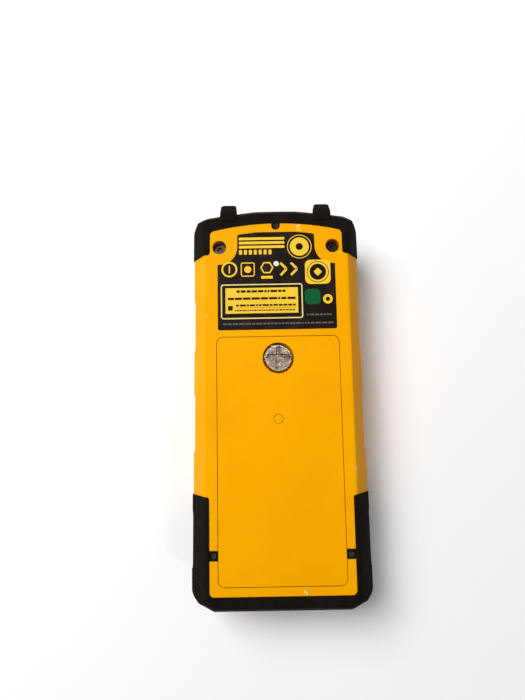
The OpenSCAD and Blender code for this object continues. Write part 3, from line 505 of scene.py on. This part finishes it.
def scuff_places():
    """Rubbed places: centre, size, and how each is squeezed along x, y and z."""
    low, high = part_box("rear_housing")
    back = high.z
    return [
        (Vector((7.3 * MM, high.y - 6.3 * MM, back)), 1.7 * MM, (1.5, 0.9, 1)),
        (Vector((6.6 * MM, low.y + 4.9 * MM, back)), 1.1 * MM, (1.1, 0.8, 1)),
        (Vector((-22.0 * MM, high.y - 34.4 * MM, back)), 0.9 * MM, (1.6, 0.9, 1)),
        (Vector((22.9 * MM, low.y + 40.0 * MM, back)), 0.7 * MM, (1.0, 0.5, 1)),
    ]


# ---- Modelling helpers ----


def take(piece):
    """Makes one object the selected and active one."""
    bpy.ops.object.select_all(action="DESELECT")
    piece.select_set(True)
    bpy.context.view_layer.objects.active = piece


def modify(piece, kind, **settings):
    """Adds a modifier, sets it and applies it."""
    take(piece)
    bpy.ops.object.modifier_add(type=kind)
    made = piece.modifiers[-1]
    for key, value in settings.items():
        setattr(made, key, value)
    bpy.ops.object.modifier_apply(modifier=made.name)


def dress(piece, material, body):
    """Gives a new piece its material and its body."""
    piece.data.materials.clear()
    piece.data.materials.append(material)
    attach(piece, body)


def round_edges(piece, edge, segments, **settings):
    modify(piece, "BEVEL", width=edge, segments=segments, limit_method="ANGLE",
           angle_limit=SHARP_EDGE, **settings)


def soften(node, name, edge, material, segments=2):
    """Copies a node, rounds its edges by the edge size and smooths it."""
    source = frame["nodes"][node]
    body = source["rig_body"]
    take(source)
    bpy.ops.object.duplicate()
    piece = bpy.context.object
    bpy.ops.object.parent_clear(type="CLEAR_KEEP_TRANSFORM")
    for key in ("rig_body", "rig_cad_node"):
        del piece[key]
    piece.name = name
    piece.data.name = name
    bpy.ops.mesh.customdata_custom_splitnormals_clear()
    bpy.ops.object.mode_set(mode="EDIT")
    bpy.ops.mesh.select_all(action="SELECT")
    bpy.ops.mesh.remove_doubles(threshold=MERGE)
    bpy.ops.mesh.dissolve_limited(angle_limit=math.radians(0.5))
    bpy.ops.object.mode_set(mode="OBJECT")
    if edge:
        round_edges(piece, edge, segments, use_clamp_overlap=True)
    take(piece)
    bpy.ops.object.shade_smooth_by_angle(angle=SMOOTH_FACES)
    modify(piece, "WEIGHTED_NORMAL", keep_sharp=True, weight=80)
    dress(piece, material, body)
    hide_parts(node)
    return piece


class Stencil:
    """Flat shapes that are drawn at one height, then joined and raised into one printed piece."""

    def __init__(self, height, facing=1):
        self.height = height
        self.facing = facing
        self.shapes = []

    def place(self, x, y):
        return (x * MM, y * MM, self.height)

    def bar(self, x, y, width, tall, turn=0.0, corner=0.0):
        """Bar about a middle point, in millimetres."""
        bpy.ops.mesh.primitive_plane_add(size=MM, location=self.place(x, y),
                                         rotation=(0, 0, math.radians(turn)))
        made = bpy.context.object
        made.scale = (width, tall, 1)
        self.keep(made)
        if corner:
            bpy.ops.object.mode_set(mode="EDIT")
            bpy.ops.mesh.select_all(action="SELECT")
            bpy.ops.mesh.bevel(offset=corner * MM, segments=4, affect="VERTICES")
            bpy.ops.object.mode_set(mode="OBJECT")

    def disc(self, x, y, radius, hole=0.0, sides=40, turn=0.0):
        """Disc, ring or regular shape about a middle point, in millimetres."""
        bpy.ops.mesh.primitive_circle_add(vertices=sides, radius=radius * MM, fill_type="NGON",
                                          location=self.place(x, y),
                                          rotation=(0, 0, math.radians(turn)))
        self.keep(bpy.context.object)
        if hole:
            self.hollow(radius - hole)

    def frame(self, x, y, width, tall, line, corner=0.0):
        """Outline of a bar, with lines of that width."""
        self.bar(x, y, width, tall, 0, corner)
        self.hollow(line)

    def hollow(self, line):
        """Leaves only an outline of the last shape."""
        bpy.ops.object.mode_set(mode="EDIT")
        bpy.ops.mesh.select_all(action="SELECT")
        bpy.ops.mesh.inset(thickness=line * MM, depth=0)
        bpy.ops.mesh.delete(type="FACE")
        bpy.ops.object.mode_set(mode="OBJECT")

    def stroke(self, x0, y0, x1, y1, width):
        """Straight line between two points."""
        self.bar((x0 + x1) / 2, (y0 + y1) / 2, math.hypot(x1 - x0, y1 - y0), width,
                 math.degrees(math.atan2(y1 - y0, x1 - x0)))

    def keep(self, made):
        take(made)
        bpy.ops.object.transform_apply(location=True, rotation=True, scale=True)
        self.shapes.append(made)

    def finished(self, name, material, body):
        """Joins the shapes and raises them by the ink's height."""
        bpy.ops.object.select_all(action="DESELECT")
        for made in self.shapes:
            made.select_set(True)
        bpy.context.view_layer.objects.active = self.shapes[0]
        if len(self.shapes) > 1:
            bpy.ops.object.join()
        piece = bpy.context.object
        piece.name = name
        piece.data.name = name
        bpy.ops.object.mode_set(mode="EDIT")
        bpy.ops.mesh.select_all(action="SELECT")
        rise = (0, 0, self.facing * (sizes().ink_height + PRINT_SINK))
        bpy.ops.mesh.extrude_region_move(TRANSFORM_OT_translate={"value": rise})
        bpy.ops.mesh.select_all(action="SELECT")
        bpy.ops.mesh.normals_make_consistent(inside=False)
        bpy.ops.object.mode_set(mode="OBJECT")
        dress(piece, material, body)
        return piece


def words(stencil, x0, x1, y, tall, seed, short=0.5, long=1.6, gap=0.28):
    """A row of plain dashes that stands for a printed line."""
    draw = random.Random(seed)
    x = x0
    while x < x1 - short:
        width = min(draw.uniform(short, long), x1 - x)
        stencil.bar(x + width / 2, y, width, tall)
        x += width + gap


# ---- Operators: one for each piece or group of like pieces ----


class METER_OT_shells(bpy.types.Operator):
    """Finishes the two shells and the battery door"""
    bl_idname = "meter.shells"
    bl_label = "Shells and door"

    def execute(self, context):
        paint = yellow_plastic()
        edge = sizes().shell_edge
        soften("rear_housing", "back_shell", edge, paint)
        soften("front_housing", "front_shell", edge, paint)
        soften("battery_cover", "battery_door", edge, paint)
        return {"FINISHED"}


class METER_OT_bumpers(bpy.types.Operator):
    """Finishes the four rubber bumpers"""
    bl_idname = "meter.bumpers"
    bl_label = "Rubber bumpers"

    def execute(self, context):
        paint = bumper_rubber()
        for node, name in (("rear_top_grip", "back_top_bumper"),
                           ("rear_bottom_grip", "back_bottom_bumper"),
                           ("front_top_grip", "front_top_bumper"),
                           ("front_bottom_grip", "front_bottom_bumper")):
            soften(node, name, sizes().rubber_edge, paint, 3)
        return {"FINISHED"}


class METER_OT_latch(bpy.types.Operator):
    """Finishes the battery door's latch"""
    bl_idname = "meter.latch"
    bl_label = "Latch"

    def execute(self, context):
        paint = worn_nickel()
        for node, name in (("latch_base", "latch_disc"), ("latch_tab", "latch_flap")):
            piece = soften(node, name, 0, paint)
            self.lift()
            round_edges(piece, sizes().metal_edge, 2)
            bpy.ops.object.shade_smooth_by_angle(angle=SMOOTH_METAL)
        return {"FINISHED"}

    def lift(self):
        """Raises the active piece, whole, above the place of its CAD node"""
        bpy.ops.object.mode_set(mode="EDIT")
        bpy.ops.mesh.select_all(action="SELECT")
        bpy.ops.transform.translate(value=(0, 0, sizes().latch_lift))
        bpy.ops.mesh.select_all(action="DESELECT")
        bpy.ops.object.mode_set(mode="OBJECT")


class METER_OT_label(bpy.types.Operator):
    """Prints plain marks on the label"""
    bl_idname = "meter.label"
    bl_label = "Label"

    def execute(self, context):
        # Places are in millimetres, from the middle and from the top or base of the label
        look = finish()
        soften("rating_label", "label", 0, label_film())
        low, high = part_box("rating_label")
        top = high.y / MM
        base = low.y / MM
        height = high.z - PRINT_SINK
        line = sizes().line_width / MM

        yellow = Stencil(height)
        for row in range(3):
            yellow.bar(-4.5, top - 2.1 - 1.35 * row, 14.4, 0.85, 0, 0.12)
        for step in range(7):
            yellow.bar(-11.2 + 1.55 * step, top - 6.5, 0.95, 1.5, 0, 0.1)
        yellow.disc(7.4, top - 4.9, 3.9, 3.9 - line * 0.6)
        yellow.disc(7.4, top - 4.9, 3.0, 1.15)
        yellow.disc(-14.8, top - 12.0, 2.5, 2.5 - line * 1.3)
        yellow.bar(-14.8, top - 12.0, line, 2.4)
        yellow.frame(-9.0, top - 12.1, 4.4, 4.6, line * 0.8, 0.7)
        yellow.disc(-9.0, top - 12.1, 1.1)
        yellow.bar(-3.0, top - 14.7, 3.6, 0.9)
        yellow.disc(-3.0, top - 11.6, 2.1, 2.1 - line, 6, 30)
        for step in range(2):
            middle = 2.3 + 3.3 * step
            yellow.stroke(middle - 1.0, top - 10.1, middle + 0.9, top - 12.1, line * 1.7)
            yellow.stroke(middle + 0.9, top - 12.1, middle - 1.0, top - 14.1, line * 1.7)
        yellow.bar(13.0, top - 13.2, 8.0, 7.8, 0, 1.6)
        yellow.bar(-4.75, base + 9.25, 22.7, 8.1)
        yellow.disc(15.9, base + 9.4, 1.5, 0.7)
        yellow.finished("label_yellow_print", ink("ink_yellow", look.ink_yellow), "housing")

        pale = Stencil(height)
        pale.frame(-4.75, base + 9.0, 25.6, 11.1, line * 0.9, 0.8)
        pale.finished("label_pale_print", ink("ink_pale", look.ink_pale), "housing")

        black = Stencil(height + sizes().ink_height)
        black.disc(13.0, top - 13.2, 2.6)
        black.disc(13.0, top - 13.2, 3.45, 3.25, 40)
        words(black, -12.6, 3.0, base + 12.2, 0.75, 3, 0.6, 2.4)
        words(black, -15.4, 5.8, base + 9.9, 0.75, 5, 0.6, 2.8)
        words(black, -12.8, 5.8, base + 7.75, 0.62, 8, 0.5, 2.0)
        black.bar(-3.3, base + 6.95, 18.2, 0.12)
        words(black, -13.2, 5.8, base + 6.15, 0.42, 13, 0.3, 0.9, 0.2)
        black.bar(-14.6, base + 6.9, 1.5, 1.5, 0, 0.2)
        black.finished("label_dark_print", ink("ink_dark", look.film), "housing")

        bright = Stencil(height + 2 * sizes().ink_height)
        bright.bar(13.0, top - 13.2, 1.9, 1.9, 45, 0.2)
        bright.finished("label_small_mark", ink("ink_bright", look.ink_yellow), "housing")

        green = Stencil(height)
        green.bar(11.2, base + 10.2, 4.9, 4.9, 0, 1.3)
        green.finished("label_green_print", ink("ink_green", look.ink_green), "housing")

        grey = Stencil(height)
        words(grey, 9.2, 17.3, base + 4.5, 0.5, 21, 0.4, 1.7, 0.3)
        words(grey, -17.0, 17.3, base + 1.9, 0.5, 34, 0.4, 1.9, 0.3)
        grey.finished("label_grey_print", ink("ink_grey", look.ink_grey), "housing")
        return {"FINISHED"}


class METER_OT_front(bpy.types.Operator):
    """Finishes the keys, the face plate, the display and their printed marks"""
    bl_idname = "meter.front"
    bl_label = "Front"

    def execute(self, context):
        orange = plain("key_orange", (0.80, 0.33, 0.006), 0.55, grain=2600)
        grey = plain("key_grey", (0.075, 0.075, 0.08), 0.55, grain=2600)
        for node in sorted(frame["nodes"]):
            if node.startswith("key_") and node != "key_domes":
                main = node == "key_measure"
                soften(node, node.replace("key_", "cap_"), sizes().key_edge,
                       orange if main else grey, 3)
        soften("face_plate", "front_plate", 0.08 * MM,
               plain("face_plate_plastic", (0.012, 0.012, 0.013), 0.38, grain=3000))
        soften("display_window", "display_glass", 0.05 * MM,
               clear("window_glass", (0.10, 0.11, 0.11), 0.16))
        self.display()
        self.key_marks()
        return {"FINISHED"}

    def display(self):
        """Figures of the display, as seen through its window"""
        low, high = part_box("lcd_panel")
        left, right = low.x / MM + 3.6, high.x / MM - 3.6
        bottom, top = low.y / MM + 3.4, high.y / MM - 3.6
        figures = Stencil(low.z + 0.005 * MM, -1)
        rows = ((top - 3.4, "1248"), (top - 9.2, "3072"), (bottom + 3.4, "4320"))
        for number, (middle, text) in enumerate(rows):
            tall = 6.4 if number == 2 else 3.6
            for place, figure in enumerate(text):
                x = right - 1.8 - (len(text) - 1 - place) * tall * 0.78
                seven_segments(figures, -x, middle, tall, figure)
            figures.bar(-(right - 1.8 - 2.5 * tall * 0.78), middle - tall / 2, 0.5, 0.5)
        figures.frame(-(left + 2.2), top - 1.6, 3.6, 2.0, 0.25)
        figures.bar(-(left + 4.3), top - 1.6, 0.4, 1.0)
        for bar in range(3):
            figures.bar(-(left + 1.2 + bar), top - 1.6, 0.7, 1.2)
        figures.bar(0, top - 12.2, right - left, 0.18)
        figures.finished("display_figures", plain("display_ink", (0.02, 0.022, 0.022), 0.5),
                         "housing")

    def key_marks(self):
        """Raised marks on the key caps"""
        white = plain("mark_white", (0.72, 0.72, 0.70), 0.5)
        dark = plain("mark_dark", (0.02, 0.018, 0.016), 0.5)
        for node, draw in KEY_MARKS.items():
            low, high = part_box(node)
            stencil = Stencil(low.z + PRINT_SINK, -1)
            draw(stencil, (low.x + high.x) / 2 / MM, (low.y + high.y) / 2 / MM)
            stencil.finished(node.replace("key_", "mark_"),
                             dark if node == "key_measure" else white, node)


SEGMENTS = {
    "0": "abcdef", "1": "bc", "2": "abged", "3": "abgcd", "4": "fgbc",
    "7": "abc", "8": "abcdefg",
}


def seven_segments(stencil, x, y, tall, figure):
    """One display figure, read from the front, where across runs the other way."""
    half = tall / 2
    width = tall * 0.5
    thick = tall * 0.11
    places = {
        "a": (0, half, 1), "g": (0, 0, 1), "d": (0, -half, 1),
        "f": (-width / 2, half / 2, 0), "b": (width / 2, half / 2, 0),
        "e": (-width / 2, -half / 2, 0), "c": (width / 2, -half / 2, 0),
    }
    for name in SEGMENTS[figure]:
        dx, dy, flat = places[name]
        if flat:
            stencil.bar(x - dx, y + dy, width - thick * 0.6, thick)
        else:
            stencil.bar(x - dx, y + dy, thick, half - thick * 0.6)


def mark_measure(pen, x, y):
    pen.disc(x, y, 2.3, 1.7)
    pen.disc(x, y, 0.7)
    for turn in (0, 90, 180, 270):
        a = math.radians(turn)
        pen.stroke(x + 2.7 * math.cos(a), y + 2.7 * math.sin(a),
                   x + 3.6 * math.cos(a), y + 3.6 * math.sin(a), 0.5)


def mark_plus(pen, x, y):
    pen.bar(x, y, 3.0, 0.6)
    pen.bar(x, y, 0.6, 3.0)


def mark_minus(pen, x, y):
    pen.bar(x, y, 3.0, 0.6)


def mark_area(pen, x, y):
    pen.frame(x, y, 3.4, 2.8, 0.4)
    pen.stroke(x - 1.4, y - 1.1, x + 1.4, y + 1.1, 0.35)


def mark_indirect(pen, x, y):
    pen.stroke(x - 1.6, y - 1.3, x + 1.6, y - 1.3, 0.4)
    pen.stroke(x + 1.4, y - 1.3, x + 1.4, y + 1.5, 0.4)
    pen.stroke(x - 1.6, y - 1.3, x + 1.5, y + 1.5, 0.4)


def mark_timer(pen, x, y):
    pen.disc(x, y, 1.7, 1.3)
    pen.stroke(x, y, x, y + 1.1, 0.35)
    pen.stroke(x, y, x + 0.8, y, 0.35)


def mark_memory(pen, x, y):
    for row in (-1.1, 0, 1.1):
        pen.bar(x, y + row, 3.0, 0.55)


def mark_reference(pen, x, y):
    pen.frame(x, y, 2.2, 3.4, 0.35)
    pen.bar(x, y - 2.2, 3.4, 0.4)
    pen.stroke(x, y - 1.0, x, y + 0.9, 0.35)


def mark_clear(pen, x, y):
    pen.disc(x, y, 1.6, 1.2)
    pen.bar(x, y + 1.3, 0.45, 1.7)


KEY_MARKS = {
    "key_measure": mark_measure, "key_plus": mark_plus, "key_minus": mark_minus,
    "key_area_volume": mark_area, "key_indirect": mark_indirect, "key_timer": mark_timer,
    "key_memory": mark_memory, "key_reference": mark_reference, "key_clear_off": mark_clear,
}


class METER_OT_optics(bpy.types.Operator):
    """Finishes the window at the optical end and the lenses behind it"""
    bl_idname = "meter.optics"
    bl_label = "Optical end"

    def execute(self, context):
        soften("window_bezel", "bezel", 0.15 * MM,
               plain("bezel_plastic", (0.011, 0.011, 0.012), 0.42, grain=3000))
        soften("front_window", "end_window", 0.05 * MM,
               clear("end_glass", (0.05, 0.02, 0.02), 0.12))
        lens = clear("lens_coating", (0.03, 0.05, 0.13), 0.9)
        soften("receiver_lens", "large_lens", 0, lens)
        soften("collimator_lens", "small_lens", 0, lens)
        return {"FINISHED"}


class METER_OT_cells(bpy.types.Operator):
    """Finishes the two battery cells, their springs and contacts"""
    bl_idname = "meter.cells"
    bl_label = "Cells"

    def execute(self, context):
        soften("cell_left", "left_cell", 0.12 * MM, cell_sleeve("cell_left_sleeve"))
        soften("cell_right", "right_cell", 0.12 * MM, cell_sleeve("cell_right_sleeve"))
        soften("battery_springs", "springs", 0,
               plain("spring_steel", (0.55, 0.55, 0.53), 0.3, 1.0))
        return {"FINISHED"}


class METER_OT_screws(bpy.types.Operator):
    """Finishes the housing screws and the vent"""
    bl_idname = "meter.screws"
    bl_label = "Screws and vent"

    def execute(self, context):
        soften("housing_screws", "shell_screws", 0.06 * MM,
               plain("dark_steel", (0.055, 0.040, 0.031), 0.38, 1.0, 900, 0.02, vary=0.25))
        soften("vent_membrane", "vent", 0.02 * MM,
               plain("vent_white", (0.86, 0.86, 0.84), 0.7, grain=4000))
        return {"FINISHED"}


INNER_FINISHES = {
    "seal_silicone": ((0.30, 0.30, 0.30), 0.6, 0.0),
    "seal_rubber": ((0.02, 0.02, 0.02), 0.6, 0.0),
    "plated_steel": ((0.62, 0.62, 0.60), 0.3, 1.0),
    "brass": ((0.78, 0.58, 0.28), 0.3, 1.0),
    "lcd_glass": ((0.30, 0.34, 0.27), 0.35, 0.0),
    "light_guide": ((0.80, 0.80, 0.78), 0.3, 0.0),
    "board_green": ((0.008, 0.09, 0.03), 0.35, 0.0),
    "chip_epoxy": ((0.02, 0.02, 0.022), 0.5, 0.0),
    "magnesium": ((0.42, 0.43, 0.44), 0.5, 1.0),
    "flex_film": ((0.42, 0.16, 0.02), 0.35, 0.0),
}


class METER_OT_inside(bpy.types.Operator):
    """Gives every node that still shows its finish"""
    bl_idname = "meter.inside"
    bl_label = "Inside"

    def execute(self, context):
        made = {}
        slots = {p["node"]: p["material_slot"] for p in frame["record"]["subparts"]}
        for node, piece in frame["nodes"].items():
            if piece.hide_render:
                continue
            slot = slots[node]
            if slot not in made:
                base, roughness, metallic = INNER_FINISHES[slot]
                made[slot] = plain("inner_" + slot, base, roughness, metallic)
            piece.data.materials.clear()
            piece.data.materials.append(made[slot])
        return {"FINISHED"}


class METER_OT_stage(bpy.types.Operator):
    """Adds the floor, the lights and the camera"""
    bl_idname = "meter.stage"
    bl_label = "Stage"

    def execute(self, context):
        scene = context.scene
        stage = scene.meter_stage
        bpy.ops.object.select_all(action="DESELECT")
        bpy.ops.mesh.primitive_plane_add(size=60, location=(0, 0, 0))
        floor = context.object
        floor.name = "floor"
        paper = Paint("floor_paper", roughness=0.9)
        paper.set("Base Color", paper.mix(paper.noise(30, 2), (0.93,) * 3, (0.91,) * 3))
        away = paper.spot((0, 0, 0), 1.6)
        paper.set("Emission Color", paper.mix(away ** 3, (0.9,) * 3, (stage.floor_glow,) * 3))
        paper.set("Emission Strength", 1.0)
        floor.data.materials.append(paper.owner)

        self.area("key", (-0.27, 0.24, 0.60), 0.36, stage.key_light)
        self.area("overhead", (0.05, 0.1, 0.95), 0.6, stage.fill_light)
        self.area("glint", (0.30, -0.26, 0.62), 0.09, stage.glint_light)

        world = Wiring(bpy.data.worlds.new("studio"))
        aim = world.node("ShaderNodeTexCoord", {}, {}, "Generated")
        height = world.node("ShaderNodeSeparateXYZ", {}, {0: aim}, "Z")
        light = world.tree.nodes["Background"].inputs
        world.feed(light["Color"], (1, 1, 1))
        world.feed(light["Strength"], height.within(0.0, 0.5, stage.horizon, stage.sky))
        scene.world = world.owner

        bpy.ops.object.camera_add(location=stage.camera_place)
        camera = context.object
        camera.rotation_mode = "ZYX"
        camera.rotation_euler = (stage.camera_tilt, 0, stage.camera_roll)
        camera.data.sensor_fit = "AUTO"
        camera.data.sensor_width = 36
        camera.data.lens = stage.lens
        camera.data.clip_start = 0.01
        scene.camera = camera
        scene.view_settings.view_transform = "Standard"
        return {"FINISHED"}

    def area(self, name, place, size, power):
        """Soft square light that faces the object."""
        bpy.ops.object.light_add(type="AREA", location=place)
        light = bpy.context.object
        light.name = name
        light.data.size = size
        light.data.energy = power
        light.rotation_euler = (-Vector(place)).to_track_quat("-Z", "Y").to_euler()


class METER_PT_panel(bpy.types.Panel):
    """Lists the steps and their settings"""
    bl_label = "Distance meter"
    bl_idname = "METER_PT_panel"
    bl_space_type = "VIEW_3D"
    bl_region_type = "UI"
    bl_category = "Meter"

    def draw(self, context):
        column = self.layout.column()
        for step in STEPS:
            column.operator(step.bl_idname)
        for group in (context.scene.meter_sizes, context.scene.meter_finish,
                      context.scene.meter_stage):
            for name in group.__annotations__:
                column.prop(group, name)


STEPS = (METER_OT_shells, METER_OT_bumpers, METER_OT_latch, METER_OT_label, METER_OT_front,
         METER_OT_optics, METER_OT_cells, METER_OT_screws, METER_OT_inside, METER_OT_stage)
GROUPS = {"meter_sizes": MeterSizes, "meter_finish": MeterFinish, "meter_stage": MeterStage}


def register():
    for group in GROUPS.values():
        bpy.utils.register_class(group)
    for name, group in GROUPS.items():
        setattr(bpy.types.Scene, name, PointerProperty(type=group))
    for step in STEPS:
        bpy.utils.register_class(step)
    bpy.utils.register_class(METER_PT_panel)


def unregister():
    bpy.utils.unregister_class(METER_PT_panel)
    for step in reversed(STEPS):
        bpy.utils.unregister_class(step)
    for name, group in reversed(GROUPS.items()):
        delattr(bpy.types.Scene, name)
        bpy.utils.unregister_class(group)


def main():
    register()
    for step in STEPS:
        family, name = step.bl_idname.split(".")
        getattr(getattr(bpy.ops, family), name)()
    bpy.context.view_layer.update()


if __name__ == "__main__":
    main()
